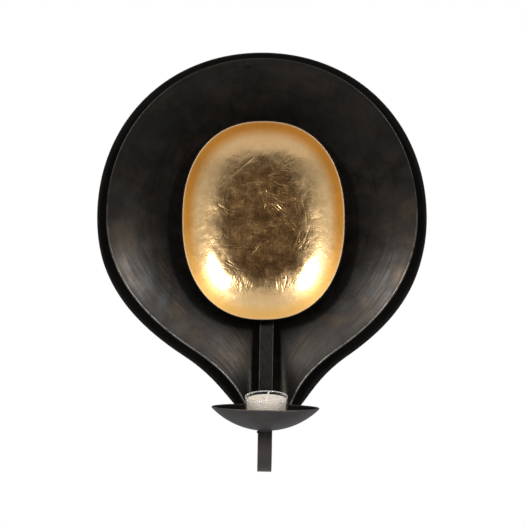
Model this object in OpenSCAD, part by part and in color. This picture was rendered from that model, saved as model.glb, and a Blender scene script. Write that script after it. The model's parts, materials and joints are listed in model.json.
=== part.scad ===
// Wall sconce candle holder: a pear-shaped dished plate with an oval reflector dish,
// a flat bar that ends in a J-shaped hook, and a bowl with a tealight on the hook.
// Millimetres, +Z up. The wall is the plane y = 0 and the front faces -Y.
// The origin is the centre of the keyhole's round hole, in the wall plane.

/* [Back shell] */
// Width of the back shell across its lobe
shell_w = 303; // [296:1:310]
// Height of the back shell above its lobe centre
shell_top = 152; // [148:1:156]
// Depth of the back shell below its lobe centre
shell_foot = 187; // [183:1:191]
// Half width of the back shell where its side turns from round to hollow
shell_waist_x = 75; // [72:0.5:77]
// Depth of that turn below the lobe centre
shell_waist_z = 127; // [124:1:130]
// How far the back shell's rim stands in front of its flat middle
shell_rise = 9; // [7:0.5:11]

/* [Front dish] */
// Width of the front dish across its lobe
front_w = 285; // [279:1:289]
// Height of the front dish above its lobe centre
front_top = 146; // [142:1:147]
// Depth of the front dish below its lobe centre
front_foot = 181; // [178:1:182]
// Half width of the front dish where its side turns from round to hollow
front_waist_x = 67.5; // [65:0.5:69]
// Depth of that turn below the lobe centre
front_waist_z = 120; // [118:1:122]
// How far the front dish's rim stands in front of its flat middle
front_rise = 16; // [14:0.5:17]

/* [Both sheets] */
// Thickness of each sheet
sheet_t = 1.5; // [1.2:0.1:1.6]
// Gap between the wall and the flat middle of the back shell
wall_gap = 7; // [6.6:0.1:8]
// Sideways lean of the neck, as the hand-made sheet has it
neck_lean = 5.5; // [0:0.1:6]
// Height of the keyhole above the lobe centre
hang_h = 62; // [60:1:64]

/* [Reflector] */
// Width of the oval reflector
oval_w = 149.6; // [144:0.2:152]
// Height of the oval reflector
oval_h = 182.6; // [176:0.2:186]
// Depth from the reflector's rim to its flat back
oval_depth = 17.5; // [16:0.1:20]
// Width of the reflector's curved wall, the same all round
oval_wall = 46; // [44:0.5:48]
// Thickness of the reflector's sheet
oval_t = 1.2; // [1:0.1:1.4]
// Thickness of the leaf lining, enlarged so that it is a solid
leaf_t = 0.4; // [0.3:0.1:0.5]

/* [Arm] */
// Width of the flat bar
bar_w = 12.8; // [12:0.1:13.5]
// Thickness of the flat bar
bar_t = 3; // [2.8:0.1:3.2]
// Roll of the bar, clockwise from the front, in degrees
bar_roll = 1; // [0:0.1:1.5]
// Distance of the bowl's centre in front of the wall
bowl_reach = 85; // [84:0.5:88]
// Depth of the hook's lowest point below the stud
hook_foot = 226; // [224:0.5:228]

/* [Bowl] */
// Outer diameter of the bowl at its rim
bowl_d = 97.5; // [94:0.5:99]
// Outer depth of the bowl
bowl_h = 21; // [20:0.1:21.5]
// Thickness of the bowl's wall
bowl_t = 1.5; // [1.3:0.1:1.6]

/* [Tealight] */
// Diameter of the tealight cup at its rim
cup_d = 38; // [37.5:0.1:38.5]
// Height of the tealight cup
cup_h = 25.5; // [24:0.5:26]
// Thickness of the cup's wall
cup_t = 1; // [0.8:0.1:1.1]
// Forward lean of the tealight where it rests in the bowl, in degrees
cup_lean = 11; // [8:0.5:13]

/* [Hidden] */
$fn = 48;

// Heights of the centres of the lobe and the oval, and how far right the oval sits
lobe_z = -hang_h;
oval_z = lobe_z - 2.6;
oval_x = 1.4;

// Depths in front of the wall, from the wall outwards
shell_back = wall_gap;
front_back = shell_back + sheet_t;
bar_back = front_back + sheet_t;
oval_back = bar_back + bar_t;

// Share of each plate's outline that is flat, and the power of the curve from there to the rim
plate_flat = 0.5;
dish_power = 2;
rim_lean = 0.6;
oval_rim_lean = 0.9;

// Outline of a pear from its top, clockwise seen from the front, as Bezier curves
outline_steps = 13;
waist_angle = 56;

function bezier(p, steps) =
    [for (i = [0 : steps - 1])
        let (t = i / steps, u = 1 - t)
        u * u * u * p[0] + 3 * u * u * t * p[1] + 3 * u * t * t * p[2] + t * t * t * p[3]];

function pear_half(half_w, top, foot, waist, pull_in, pull_out) =
    let (side = [half_w, 0],
         fall = [-sin(waist_angle), -cos(waist_angle)])
    concat(
        bezier([[0, top], [0.585 * half_w, top], side + [0, 0.568 * top], side], outline_steps),
        bezier([side, side - [0, 0.4 * half_w], waist - pull_in * fall, waist], outline_steps),
        bezier([waist, waist + pull_out * fall, [33, -foot], [0, -foot]], outline_steps),
        [[0, -foot]]);

// The neck leans more the lower it gets, from 35 to 168 below the lobe centre
function leaned(p) =
    [p.x + neck_lean * pow(max(0, (-p.y - 35) / 133), 1.3), p.y];

function closed(half) =
    concat([for (p = half) leaned(p)],
           [for (i = [len(half) - 2 : -1 : 1]) leaned([-half[i].x, half[i].y])]);

shell_half = pear_half(shell_w / 2, shell_top, shell_foot, [shell_waist_x, -shell_waist_z], 53, 54);
front_half = pear_half(front_w / 2, front_top, front_foot, [front_waist_x, -front_waist_z], 45, 74);
shell_outline = closed(shell_half);
front_outline = closed(front_half);
shell_flat = plate_flat * shell_outline;
front_flat = plate_flat * front_outline;

// Superellipse of the reflector, clockwise from the front
oval_steps = 72;
oval_exponent = 2.3;

function bent(v) = sign(v) * pow(abs(v), 2 / oval_exponent);

function oval(w, h) =
    [for (i = [0 : oval_steps - 1])
        let (a = i * 360 / oval_steps)
        [w / 2 * bent(sin(a)), h / 2 * bent(cos(a))]];

oval_outline = oval(oval_w, oval_h);
oval_flat = oval(oval_w - 2 * oval_wall, oval_h - 2 * oval_wall);

// Share of a half outline's reach at which a point lies
function share(half, p) =
    norm(p) / lookup(atan2(abs(p.x), p.y), [for (q = half) [atan2(q.x, q.y), norm(q)]]);

// Depth of a plate's back face at a point
function plate_depth(half, back, rise, p) =
    back + rise * pow(max(0, (share(half, p) - plate_flat) / (1 - plate_flat)), dish_power);

// Arm frame: its origin is the stud, in the wall plane
arm_x = 6;
rear_run = 31;
bend_r = 45;
bend_a = 12;
bend_top = -56;
hook_r = (bowl_reach - rear_run) / 2;
hook_z = -hook_foot + bar_t / 2 + hook_r;
bar_mid = bar_back + bar_t / 2;
slant = (rear_run - bar_mid - 2 * bend_r * (1 - cos(bend_a))) / sin(bend_a);
bend_foot = bend_top - 2 * bend_r * sin(bend_a) - slant * cos(bend_a);
bar_top = 46;
weld_leg = 2;
weld_drop = 1.1;
arm_rivet_z = 28;

// Bowl, part of a sphere
bowl_dx = 0;
bowl_foot = 186.9;
bowl_tilt = 0.7;
bowl_steps = 180;
bowl_r = (bowl_d * bowl_d / 4 + bowl_h * bowl_h) / (2 * bowl_h);
bowl_c = [bowl_dx, -bowl_reach, -bowl_foot + bowl_r];

// Tealight: its axis passes through the centre of the bowl's sphere
seat_gap = 0.2;
foot_in = 1;
foot_r = cup_d / 2 - foot_in - 0.6;
seat = sqrt(pow(bowl_r - bowl_t - seat_gap, 2) - foot_r * foot_r);
cup_c = [arm_x + bowl_c.x * cos(bar_roll) + bowl_c.z * sin(bar_roll),
         bowl_c.y,
         oval_z - bowl_c.x * sin(bar_roll) + bowl_c.z * cos(bar_roll)];

// Candle, measured from the cup's underside
wax_foot = cup_t + 0.1;
wax_top = cup_h - 3;
wax_gap = 0.4;
wick_r = 0.8;
wick_lean = 20;
wick_out = 7.5;
tab_r = 6.5;
tab_t = 0.5;
collar_r = 1.8;
collar_h = 3;

// Fasteners
stud_r = 2.5;
stud_hole_r = 2.6;
stud_end = 0.8;
washer_t = 1;
nut_af = 8;
nut_h = 4;
rivet_r = 2;
rivet_head_r = 4;
rivet_head_h = 1;
sink_h = 2;
hang_rivet_x = 22;
hang_rivet_z = 3;
post_r = 3;
post_x = 13.1;
post_z = 140.9;
post_head_h = 0.9;
side_post_x = 96;
side_post_z = -66;

// Keyhole plate
key_r = 4.5;
slot_r = 2.4;
slot_h = 10;
plate_t = 1.5;
plate_low = -13;
plate_high = 19;
plate_half = 16;
foot_w = 12;

pad_r = 8;
pad_x = 52;
pad_z = -45;

// Cylinder along Y, from one depth to another in front of the wall
module across(x, z, near, far, r1, r2)
{
    translate([x, -near, z])
        rotate([90, 0, 0])
            cylinder(h = far - near, r1 = r1, r2 = r2);
}

// Turned piece whose axis runs along Y; the profile's points are radius and depth from the wall
module turned(x, z, profile)
{
    translate([x, 0, z])
        rotate([90, 0, 0])
            rotate_extrude()
                polygon(profile);
}

// Dished sheet: flat inside the flat outline and curved forward from there to the rim, with its
// back face at depth back. trim_back and trim_front shrink the two faces towards the rim, so that
// the edge leans.
module dished(flat, outline, back, rise, t, rings, trim_back, trim_front)
{
    n = len(outline);
    layer = (rings + 1) * n;

    function ring(k, depth, trim) =
        let (u = k / rings)
        [for (i = [0 : n - 1])
            let (p = (flat[i] + (outline[i] - flat[i]) * u) * (1 - trim * u))
            [p.x, -depth - rise * pow(u, dish_power), p.y]];

    points = concat(
        [for (k = [0 : rings]) each ring(k, back, trim_back)],
        [for (k = [0 : rings]) each ring(k, back + t, trim_front)]);

    caps = [[for (i = [n - 1 : -1 : 0]) i], [for (i = [0 : n - 1]) layer + i]];
    walls = [for (k = [0 : rings - 1], i = [0 : n - 1])
        let (a = k * n + i, b = k * n + (i + 1) % n)
        each [[a, b, b + n], [a, b + n, a + n],
              [layer + a, layer + a + n, layer + b + n], [layer + a, layer + b + n, layer + b]]];
    edge = [for (i = [0 : n - 1])
        let (a = rings * n + i, b = rings * n + (i + 1) % n)
        each [[layer + a, a, b], [layer + a, b, layer + b]]];

    polyhedron(points, concat(caps, walls, edge));
}

module in_arm()
{
    translate([arm_x, 0, oval_z])
        rotate([0, bar_roll, 0])
            children();
}

module in_cup()
{
    translate(cup_c)
        rotate([cup_lean, 0, 0])
            translate([0, 0, -seat])
                children();
}

// Holes that the stud, the arm's rivets and the keyhole plate's rivets share
module plate_holes()
{
    in_arm()
    {
        across(0, 0, 0, 30, stud_hole_r, stud_hole_r);
        for (side = [-1, 1])
            across(0, side * arm_rivet_z, 0, 30, rivet_r, rivet_r);
    }
    for (side = [-1, 1])
        across(side * hang_rivet_x, hang_rivet_z, 0, 30, rivet_r, rivet_r);
}

module back_shell()
{
    color([0.07, 0.065, 0.06])
        difference()
        {
            translate([0, 0, lobe_z])
                dished(shell_flat, shell_outline, shell_back, shell_rise, sheet_t,
                       9, 0, rim_lean / (shell_w / 2));
            plate_holes();
        }
}

module front_dish()
{
    color([0.2, 0.18, 0.16])
        difference()
        {
            translate([0, 0, lobe_z])
                dished(front_flat, front_outline, front_back, front_rise, sheet_t,
                       9, 0, rim_lean / (front_w / 2));
            plate_holes();
        }
}

// Post between the two sheets at a point of the plate; one with a head shows on the dish's face
module rim_post(p, head_h)
{
    near = plate_depth(shell_half, shell_back, shell_rise, p) + sheet_t / 2;
    skin = plate_depth(front_half, front_back, front_rise, p);
    far = skin + (head_h > 0 ? sheet_t : sheet_t / 4);
    tip_r = head_h > 0 ? 0.4 * post_r : post_r;
    turned(p.x, lobe_z + p.y,
           [[0, near], [post_r, near], [post_r, far], [tip_r, far + head_h], [0, far + head_h]]);
}

module rim_posts()
{
    color([0.25, 0.23, 0.21])
    {
        rim_post([-post_x, post_z], post_head_h);
        for (side = [-1, 1])
            rim_post([side * side_post_x, side_post_z], 0);
    }
}

module hanger_plate()
{
    half = [[plate_half, 0], [plate_half, -wall_gap + plate_t],
            [plate_half + foot_w, -wall_gap + plate_t], [plate_half + foot_w, -wall_gap],
            [plate_half - plate_t, -wall_gap], [plate_half - plate_t, -plate_t]];
    other_half = [for (i = [len(half) - 1 : -1 : 0]) [-half[i].x, half[i].y]];
    color([0.6, 0.6, 0.58])
        difference()
        {
            translate([0, 0, plate_low])
                linear_extrude(plate_high - plate_low)
                    polygon(concat(half, other_half));
            across(0, 0, -1, 3, key_r, key_r);
            across(0, slot_h, -1, 3, slot_r, slot_r);
            translate([-slot_r, -3, 0])
                cube([2 * slot_r, 4, slot_h]);
            for (side = [-1, 1])
                across(side * hang_rivet_x, hang_rivet_z, 0, 30, rivet_r, rivet_r);
        }
}

module hanger_rivets()
{
    near = wall_gap - plate_t;
    profile = [[0, near - rivet_head_h], [0.7 * rivet_head_r, near - rivet_head_h],
               [rivet_head_r, near], [rivet_r, near], [rivet_r, bar_back], [rivet_head_r, bar_back],
               [0.7 * rivet_head_r, bar_back + rivet_head_h], [0, bar_back + rivet_head_h]];
    color([0.6, 0.6, 0.58])
        for (side = [-1, 1])
            turned(side * hang_rivet_x, hang_rivet_z, profile);
}

module wall_pads()
{
    color([0.12, 0.12, 0.12])
        for (side = [-1, 1])
            across(side * pad_x, lobe_z + pad_z, 0, wall_gap, pad_r - 0.6, pad_r);
}

// Points of an arc in the arm's side view, as [depth axis, height]
function arc(c, r, from, to, steps) =
    [for (i = [0 : steps])
        let (a = from + (to - from) * i / steps)
        c + r * [cos(a), sin(a)]];

// One long edge of the bar's side view; side is 1 for the edge nearer the wall, -1 for the other
function bar_edge(side) =
    let (h = side * bar_t / 2)
    concat(
        [[-bar_mid + h, bar_top]],
        arc([-bar_mid - bend_r, bend_top], bend_r + h, 0, -bend_a, 4),
        arc([-rear_run + bend_r, bend_foot], bend_r - h, 180 - bend_a, 180, 4),
        arc([-(rear_run + bowl_reach) / 2, hook_z], hook_r + h, 0, -180, 32),
        [[-bowl_reach - h, -bowl_foot + 2]]);

module support_arm()
{
    outer = bar_edge(1);
    inner = bar_edge(-1);
    color([0.17, 0.16, 0.15])
        in_arm()
            difference()
            {
                rotate([90, 0, 90])
                    linear_extrude(bar_w, center = true)
                        polygon(concat(outer, [for (i = [len(inner) - 1 : -1 : 0]) inner[i]]));
                intersection()
                {
                    translate(bowl_c)
                        sphere(bowl_r, $fn = bowl_steps);
                    translate([-bar_w, -bowl_reach - bar_t, -bowl_foot - 1])
                        cube([2 * bar_w, 2 * bar_t, 10]);
                }
                across(0, 0, 0, 30, stud_hole_r, stud_hole_r);
                for (side = [-1, 1])
                {
                    across(0, side * arm_rivet_z, 0, 30, rivet_r, rivet_r);
                    across(0, side * arm_rivet_z, oval_back - sink_h, oval_back, rivet_r, rivet_head_r);
                }
            }
}

module arm_rivets()
{
    near = shell_back - rivet_head_h;
    profile = [[0, near], [0.7 * rivet_head_r, near], [rivet_head_r, shell_back],
               [rivet_r, shell_back], [rivet_r, oval_back - sink_h], [rivet_head_r, oval_back],
               [0, oval_back]];
    color([0.3, 0.29, 0.28])
        in_arm()
            for (side = [-1, 1])
                turned(0, side * arm_rivet_z, profile);
}

module reflector_dish()
{
    color([0.08, 0.075, 0.07])
        translate([oval_x, 0, oval_z])
            dished(oval_flat, oval_outline, oval_back, oval_depth - oval_t, oval_t,
                   9, 0, oval_rim_lean / (oval_w / 2));
}

module gold_leaf()
{
    color([0.83, 0.65, 0.32])
        translate([oval_x, 0, oval_z])
            dished(oval_flat, oval_outline, oval_back + oval_t, oval_depth - oval_t, leaf_t,
                   9, oval_rim_lean / (oval_w / 2), (oval_rim_lean + leaf_t) / (oval_w / 2));
}

module reflector_stud()
{
    color([0.65, 0.65, 0.63])
        in_arm()
            across(0, 0, stud_end, oval_back, stud_r, stud_r);
}

module stud_washer()
{
    color([0.7, 0.7, 0.68])
        in_arm()
            difference()
            {
                across(0, 0, shell_back - washer_t, shell_back, 2 * stud_r, 2 * stud_r);
                across(0, 0, 0, 30, stud_hole_r, stud_hole_r);
            }
}

module stud_nut()
{
    nut_face = shell_back - washer_t;
    color([0.7, 0.7, 0.68])
        in_arm()
            difference()
            {
                translate([0, -nut_face + nut_h, 0])
                    rotate([90, 0, 0])
                        cylinder(h = nut_h, d = nut_af / cos(30), $fn = 6);
                across(0, 0, 0, 30, stud_r, stud_r);
            }
}

module candle_bowl()
{
    color([0.2, 0.18, 0.17])
        in_arm()
            translate(bowl_c)
                rotate([-bowl_tilt, 0, 0])
                    difference()
                    {
                        sphere(bowl_r, $fn = bowl_steps);
                        sphere(bowl_r - bowl_t, $fn = bowl_steps);
                        translate([-bowl_r - 1, -bowl_r - 1, -bowl_r + bowl_h])
                            cube([2 * bowl_r + 2, 2 * bowl_r + 2, 2 * bowl_r]);
                    }
}

// Fillet weld on both faces of the hook's end, with a drop of weld at its left edge
module bowl_weld()
{
    leg = bar_t / 2;
    bead = [[leg, 1], [leg, -weld_leg], [leg + 0.3 * weld_leg, -0.8 * weld_leg],
            [leg + 0.8 * weld_leg, -0.3 * weld_leg], [leg + weld_leg, 1]];
    color([0.22, 0.2, 0.19])
        in_arm()
            translate([0, -bowl_reach, -bowl_foot])
            {
                for (side = [0, 1])
                    difference()
                    {
                        mirror([0, side, 0])
                            rotate([90, 0, 90])
                                linear_extrude(bar_w - 1, center = true)
                                    polygon(bead);
                        translate(bowl_c - [0, -bowl_reach, -bowl_foot])
                            sphere(bowl_r, $fn = bowl_steps);
                    }
                translate([-bar_w / 2 - weld_drop, -weld_drop, -weld_leg])
                    cube([weld_drop, 2 * weld_drop, 1.3 * weld_drop]);
            }
}

// Inner radius of the cup at a height above its underside
function cup_in(z) = cup_d / 2 - cup_t - foot_in * (cup_h - z) / cup_h;

module tealight_cup()
{
    color([0.85, 0.87, 0.88, 0.4])
        in_cup()
            rotate_extrude()
                polygon([[0, 0], [foot_r, 0], [foot_r + 0.6, 0.6], [cup_d / 2, cup_h - 0.8],
                         [cup_d / 2, cup_h], [cup_in(cup_h), cup_h], [cup_in(cup_t), cup_t],
                         [0, cup_t]]);
}

module candle_wax()
{
    top_r = cup_in(wax_top) - wax_gap;
    color([0.93, 0.9, 0.84])
        in_cup()
            rotate_extrude()
                polygon([[tab_r, wax_foot], [cup_in(wax_foot) - wax_gap, wax_foot],
                         [top_r, wax_top], [top_r - 1, wax_top - 0.3],
                         [4, wax_top - 0.5], [wick_r, wax_top - 0.2],
                         [wick_r, wax_foot + collar_h], [collar_r, wax_foot + collar_h],
                         [collar_r, wax_foot + tab_t], [tab_r, wax_foot + tab_t]]);
}

module wick()
{
    color([0.96, 0.95, 0.92])
        in_cup()
        {
            translate([0, 0, wax_foot])
                cylinder(h = wax_top - wax_foot, r = wick_r);
            translate([0, 0, wax_top - 0.2])
                rotate([0, wick_lean, 0])
                    rotate_extrude()
                        polygon([[0, 0], [0.95 * wick_r, 0], [0.95 * wick_r, wick_out],
                                 [0.5 * wick_r, wick_out + 0.6], [0, wick_out + 0.6]]);
        }
}

module wick_sustainer()
{
    color([0.75, 0.75, 0.74])
        in_cup()
            rotate_extrude()
                polygon([[wick_r, wax_foot], [tab_r, wax_foot], [tab_r, wax_foot + tab_t],
                         [collar_r, wax_foot + tab_t], [collar_r, wax_foot + collar_h],
                         [wick_r, wax_foot + collar_h]]);
}

back_shell();
front_dish();
rim_posts();
hanger_plate();
hanger_rivets();
wall_pads();
support_arm();
arm_rivets();
reflector_dish();
gold_leaf();
reflector_stud();
stud_washer();
stud_nut();
candle_bowl();
bowl_weld();
tealight_cup();
candle_wax();
wick();
wick_sustainer();
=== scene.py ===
# Wall sconce candle holder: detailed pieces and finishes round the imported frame.
# Sizes are in millimetres in this script and become metres when a mesh is made.
import json
import math
import random

import bpy
import numpy as np
from mathutils import Matrix, Vector, noise


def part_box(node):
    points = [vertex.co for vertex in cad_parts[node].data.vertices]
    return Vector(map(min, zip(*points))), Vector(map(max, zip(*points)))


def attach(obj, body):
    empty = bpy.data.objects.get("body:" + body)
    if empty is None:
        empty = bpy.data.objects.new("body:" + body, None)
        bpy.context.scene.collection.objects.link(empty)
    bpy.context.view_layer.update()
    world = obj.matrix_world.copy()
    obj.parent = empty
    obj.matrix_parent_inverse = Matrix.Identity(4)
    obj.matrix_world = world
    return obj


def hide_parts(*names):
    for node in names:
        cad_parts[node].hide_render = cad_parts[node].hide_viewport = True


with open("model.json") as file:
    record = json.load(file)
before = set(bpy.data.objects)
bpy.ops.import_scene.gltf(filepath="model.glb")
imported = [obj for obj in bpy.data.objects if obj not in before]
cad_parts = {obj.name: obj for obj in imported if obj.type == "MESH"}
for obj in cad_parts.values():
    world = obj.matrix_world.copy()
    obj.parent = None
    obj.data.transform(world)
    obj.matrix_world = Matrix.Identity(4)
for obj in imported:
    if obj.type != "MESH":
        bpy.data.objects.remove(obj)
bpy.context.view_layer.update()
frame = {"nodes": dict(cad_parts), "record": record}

MM = 0.001
# A profile's point nearer the axis than this, in millimetres, is on it
ON_AXIS = 1e-6


def box_mm(node):
    low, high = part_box(node)
    return np.array(low) / MM, np.array(high) / MM


# ---- sizes from the frame

SHEET = 1.5
# Share of the way from the lobe centre to a plate's rim that is flat
PLATE_FLAT = 0.5
shell_low, shell_high = box_mm("back_shell")
front_low, front_high = box_mm("front_dish")
SHELL_W = shell_high[0] - shell_low[0]
SHELL_H = shell_high[2] - shell_low[2]
FRONT_W = front_high[0] - front_low[0]
FRONT_H = front_high[2] - front_low[2]
# Each plate's height above its lobe centre and in all, of which only the share is used
SHELL_ABOVE, SHELL_ALL = 152, 339
FRONT_ABOVE, FRONT_ALL = 146, 327
SHELL_TOP = SHELL_H * SHELL_ABOVE / SHELL_ALL
FRONT_TOP = FRONT_H * FRONT_ABOVE / FRONT_ALL
LOBE_Z = shell_high[2] - SHELL_TOP
WALL_GAP = -shell_high[1]
# How far right the neck leans, where below the lobe centre that starts, and over what depth
NECK_LEAN = 5.5
LEAN_FROM = 35
LEAN_RUN = 133

oval_low, oval_high = box_mm("reflector_dish")
OVAL_W = oval_high[0] - oval_low[0]
OVAL_H = oval_high[2] - oval_low[2]
OVAL_WALL = 46.0
OVAL_T = 1.2
OVAL_BACK = -oval_high[1]
OVAL_RISE = oval_high[1] - oval_low[1] - OVAL_T

stud_low, stud_high = box_mm("reflector_stud")
ARM_X = (stud_low[0] + stud_high[0]) / 2
ARM_Z = (stud_low[2] + stud_high[2]) / 2
ROLL = math.radians(1)
BAR_W = 12.8
BAR_T = 3.0
BAR_MID = OVAL_BACK - BAR_T / 2
BOWL_REACH = 85.0
# How far the bar's lower run stands in front of the wall, and the double bend that takes it there
REAR_RUN = 31.0
BEND_TOP = -56.0
BEND_R = 45.0
BEND_TURN = 12.0
HOOK_FOOT = 226.0
# How far above the stud the bar starts, and the longest step along it
BAR_TOP = 46
BAR_STEP = 2.0
BOWL_FOOT = 186.9
BOWL_D = 97.5
BOWL_H = 21.0
BOWL_T = 1.5
BOWL_TILT = math.radians(0.7)
BOWL_R = (BOWL_D ** 2 / 4 + BOWL_H ** 2) / (2 * BOWL_H)
BOWL_C = Vector((0, -BOWL_REACH, BOWL_R - BOWL_FOOT))

CUP_D = 38.0
CUP_H = 25.5
CUP_T = 1.0
CUP_FOOT_R = 17.4
CUP_LEAN = math.radians(11)
CUP_CLEAR = 0.2
SEAT = math.sqrt((BOWL_R - BOWL_T - CUP_CLEAR) ** 2 - CUP_FOOT_R ** 2)
WAX_DROP = 3
WAX_CLEAR = 0.1
WAX_TOP = CUP_H - WAX_DROP
WAX_FOOT = CUP_T + WAX_CLEAR
WICK_R = 0.72
WICK_LENGTH = 7.9
WICK_LEAN = math.radians(20)

ARM_FRAME = Matrix.Translation((ARM_X, 0, ARM_Z)) @ Matrix.Rotation(ROLL, 4, "Y")
CUP_C = ARM_FRAME @ BOWL_C
CUP_FRAME = (Matrix.Translation(CUP_C) @ Matrix.Rotation(CUP_LEAN, 4, "X")
             @ Matrix.Translation((0, 0, -SEAT)))


# ---- mesh helpers

def place(name, points, faces, matrix=None, smooth=True):
    """A mesh object from points in millimetres, placed by a matrix in millimetres."""
    mesh = bpy.data.meshes.new(name)
    mesh.from_pydata((np.asarray(points, float) * MM).tolist(), [], faces)
    mesh.validate()
    if smooth:
        mesh.shade_smooth()
    piece = bpy.data.objects.new(name, mesh)
    bpy.context.scene.collection.objects.link(piece)
    if matrix is not None:
        shift = matrix.to_translation() * MM
        piece.matrix_world = Matrix.Translation(shift) @ matrix.to_3x3().to_4x4()
    return piece


def weight(piece, name, values):
    """A number for each point of a mesh, which its material reads by name."""
    layer = piece.data.attributes.new(name, "FLOAT", "POINT")
    layer.data.foreach_set("value", np.asarray(values, np.float32))


def circle(n):
    """n angles round a full turn."""
    return [2 * math.pi * i / n for i in range(n)]


def grid_faces(rings, n, start=0, flip=False):
    """Quads between rings of n points each, closed round each ring."""
    faces = []
    for k in range(rings - 1):
        for i in range(n):
            a = start + k * n + i
            b = start + k * n + (i + 1) % n
            quad = (a, a + n, b + n, b)
            faces.append(quad[::-1] if flip else quad)
    return faces


def hub_faces(total, n):
    """Fans from two hubs, the points total and total + 1, to the first and to the last n points."""
    return ([(total, i, (i + 1) % n) for i in range(n)]
            + [(total + 1, total - n + (i + 1) % n, total - n + i) for i in range(n)])


def bore_faces(rings, n):
    """Quads from the last ring back to the first, which close a piece that has a hole."""
    last = (rings - 1) * n
    return [(last + i, last + (i + 1) % n, (i + 1) % n, i) for i in range(n)]


def lathe(name, profile, matrix, steps=96):
    """A turned piece: profile holds (radius, height) pairs, closed where both ends are on the axis."""
    open_foot = profile[0][0] > ON_AXIS
    open_top = profile[-1][0] > ON_AXIS
    turned = [p for p in profile if p[0] > ON_AXIS]
    points = [(r * math.cos(a), r * math.sin(a), z) for r, z in turned for a in circle(steps)]
    faces = grid_faces(len(turned), steps, flip=True)
    if not open_foot:
        points.append((0, 0, profile[0][1]))
        hub = len(points) - 1
        faces += [(hub, (i + 1) % steps, i) for i in range(steps)]
    if not open_top:
        points.append((0, 0, profile[-1][1]))
        hub = len(points) - 1
        last = (len(turned) - 1) * steps
        faces += [(hub, last + i, last + (i + 1) % steps) for i in range(steps)]
    if open_foot and open_top:
        faces += bore_faces(len(turned), steps)
    return place(name, points, faces, matrix)


def arc(cx, cz, r, start, end, steps):
    """Points of an arc, angles in degrees."""
    turns = [math.radians(start + (end - start) * i / steps) for i in range(steps + 1)]
    return [(cx + r * math.cos(a), cz + r * math.sin(a)) for a in turns]


def rough_noise(x, z, size, seed):
    """Smooth noise between about -1 and 1 whose bumps are size across."""
    return noise.noise(Vector((x / size, seed * 7.3, z / size)))


# ---- outlines

def bezier(p, steps):
    """Points of a cubic curve, without its last one."""
    t = (np.arange(steps) / steps)[:, None]
    p = np.array(p, float)
    return (1 - t) ** 3 * p[0] + 3 * (1 - t) ** 2 * t * p[1] + 3 * (1 - t) * t * t * p[2] + t ** 3 * p[3]


# The pear's slope at its waist, and how far its curves hold their direction: across the top, up and
# down its sides as shares, and across the foot in millimetres
WAIST_SLOPE = math.radians(56)
TOP_PULL = 0.585
SIDE_PULL = 0.568
DROP_PULL = 0.4
FOOT_PULL = 33


def pear_outline(width, top, foot, waist, pull_in, pull_out, steps=44):
    """A pear from its top, clockwise from the front, as (x, z) about its lobe centre."""
    half_w = width / 2
    side = np.array([half_w, 0.0])
    fall = -np.array([math.sin(WAIST_SLOPE), math.cos(WAIST_SLOPE)])
    waist = np.array(waist, float)
    right = np.vstack([
        bezier([(0, top), (TOP_PULL * half_w, top), side + (0, SIDE_PULL * top), side], steps),
        bezier([side, side - (0, DROP_PULL * half_w), waist - pull_in * fall, waist], steps),
        bezier([waist, waist + pull_out * fall, (FOOT_PULL, -foot), (0, -foot)], steps),
        [(0, -foot)]])
    left = right[-2:0:-1] * (-1, 1)
    outline = np.vstack([right, left])
    outline[:, 0] += NECK_LEAN * np.clip((-outline[:, 1] - LEAN_FROM) / LEAN_RUN, 0, 2) ** 1.3
    return outline


def oval_outline(width, height, steps=360, exponent=2.3):
    """A slightly squared oval from its top, clockwise from the front."""
    a = np.arange(steps) * 2 * math.pi / steps

    def bent(v):
        return np.sign(v) * np.abs(v) ** (2 / exponent)

    return np.stack([width / 2 * bent(np.sin(a)), height / 2 * bent(np.cos(a))], axis=1)


# ---- dished sheets

# Where the first ring is, as a share of the flat, and where the rings close up, as a share of the wall
HUB = 0.03
NEAR_RIM = 0.96


def rings_of(flat, outline, inner, outer, close, tuck):
    """Rings from the middle to the rim: (x, z) points and how far up the curved wall each ring is.

    inner and outer count the rings of the flat and of the wall, close counts those near the rim, and
    tuck is how far inside the outline the last ring lies.
    """
    reach = np.hypot(outline[:, 0], outline[:, 1])[:, None]
    rim = outline * (1 - tuck / reach)
    middle = np.linspace(HUB, 1, inner, endpoint=False)[:, None, None] * flat[None]
    wall = np.append(np.linspace(0, NEAR_RIM, outer), np.linspace(NEAR_RIM, 1, close + 1)[1:])
    curved = flat[None] + wall[:, None, None] * (rim - flat)[None]
    return np.concatenate([middle, curved]), np.append(np.zeros(inner), wall)


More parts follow.
